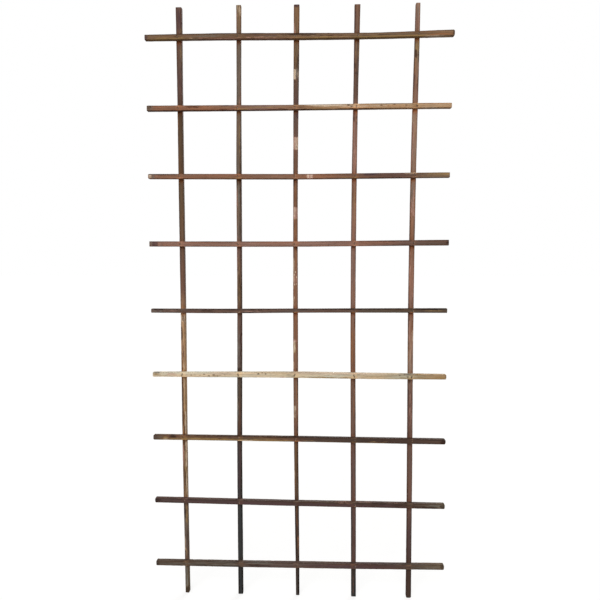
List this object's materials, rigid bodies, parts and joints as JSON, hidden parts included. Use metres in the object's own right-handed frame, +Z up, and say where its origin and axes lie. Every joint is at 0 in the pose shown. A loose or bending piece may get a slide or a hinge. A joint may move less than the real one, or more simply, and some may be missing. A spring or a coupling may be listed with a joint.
{
  "type": "ladder trellis",
  "caption": "Flat wooden garden trellis: square uprights behind square rungs, stapled at each crossing into an open ladder grid for climbing plants.",
  "frame": {"origin": "on the level the feet stand on, midway along the rungs, in the plane where the rungs lie on the uprights", "axes": "+X along the rungs, to the right as seen from the front; +Y from the rungs back through the uprights, towards the wall; +Z up the uprights"},
  "size_m": [0.9164, 0.0286, 1.8285],
  "materials": {
    "tan_wood": "rough-sawn softwood, golden tan to brown, unfinished",
    "red_wood": "rough-sawn redwood heartwood, pinkish to reddish brown, unfinished",
    "dark_wood": "rough-sawn heartwood weathered to dark purple-brown and charcoal",
    "pale_wood": "rough-sawn sapwood, cream with grey-green streaks",
    "staple_wire": "galvanised steel wire, dulled, with rust at the legs"
  },
  "bodies": {
    "root": {"upright_1": "tan_wood", "upright_2": "dark_wood", "upright_3": "red_wood", "upright_4": "red_wood", "upright_5": "red_wood", "rung_1": "tan_wood", "rung_2": "tan_wood", "rung_3": "red_wood", "rung_4": "red_wood", "rung_5": "dark_wood", "rung_6": "pale_wood", "rung_7": "dark_wood", "rung_8": "dark_wood", "rung_9": "dark_wood", "staple_rung1_upright1": "staple_wire", "staple_rung1_upright2": "staple_wire", "staple_rung1_upright3": "staple_wire", "staple_rung1_upright4": "staple_wire", "staple_rung1_upright5": "staple_wire", "staple_rung2_upright1": "staple_wire", "staple_rung2_upright2": "staple_wire", "staple_rung2_upright3": "staple_wire", "staple_rung2_upright4": "staple_wire", "staple_rung2_upright5": "staple_wire", "staple_rung3_upright1": "staple_wire", "staple_rung3_upright2": "staple_wire", "staple_rung3_upright3": "staple_wire", "staple_rung3_upright4": "staple_wire", "staple_rung3_upright5": "staple_wire", "staple_rung4_upright1": "staple_wire", "staple_rung4_upright2": "staple_wire", "staple_rung4_upright3": "staple_wire", "staple_rung4_upright4": "staple_wire", "staple_rung4_upright5": "staple_wire", "staple_rung5_upright1": "staple_wire", "staple_rung5_upright2": "staple_wire", "staple_rung5_upright3": "staple_wire", "staple_rung5_upright4": "staple_wire", "staple_rung5_upright5": "staple_wire", "staple_rung6_upright1": "staple_wire", "staple_rung6_upright2": "staple_wire", "staple_rung6_upright3": "staple_wire", "staple_rung6_upright4": "staple_wire", "staple_rung6_upright5": "staple_wire", "staple_rung7_upright1": "staple_wire", "staple_rung7_upright2": "staple_wire", "staple_rung7_upright3": "staple_wire", "staple_rung7_upright4": "staple_wire", "staple_rung7_upright5": "staple_wire", "staple_rung8_upright1": "staple_wire", "staple_rung8_upright2": "staple_wire", "staple_rung8_upright3": "staple_wire", "staple_rung8_upright4": "staple_wire", "staple_rung8_upright5": "staple_wire", "staple_rung9_upright1": "staple_wire", "staple_rung9_upright2": "staple_wire", "staple_rung9_upright3": "staple_wire", "staple_rung9_upright4": "staple_wire", "staple_rung9_upright5": "staple_wire"}
  },
  "joints": []
}
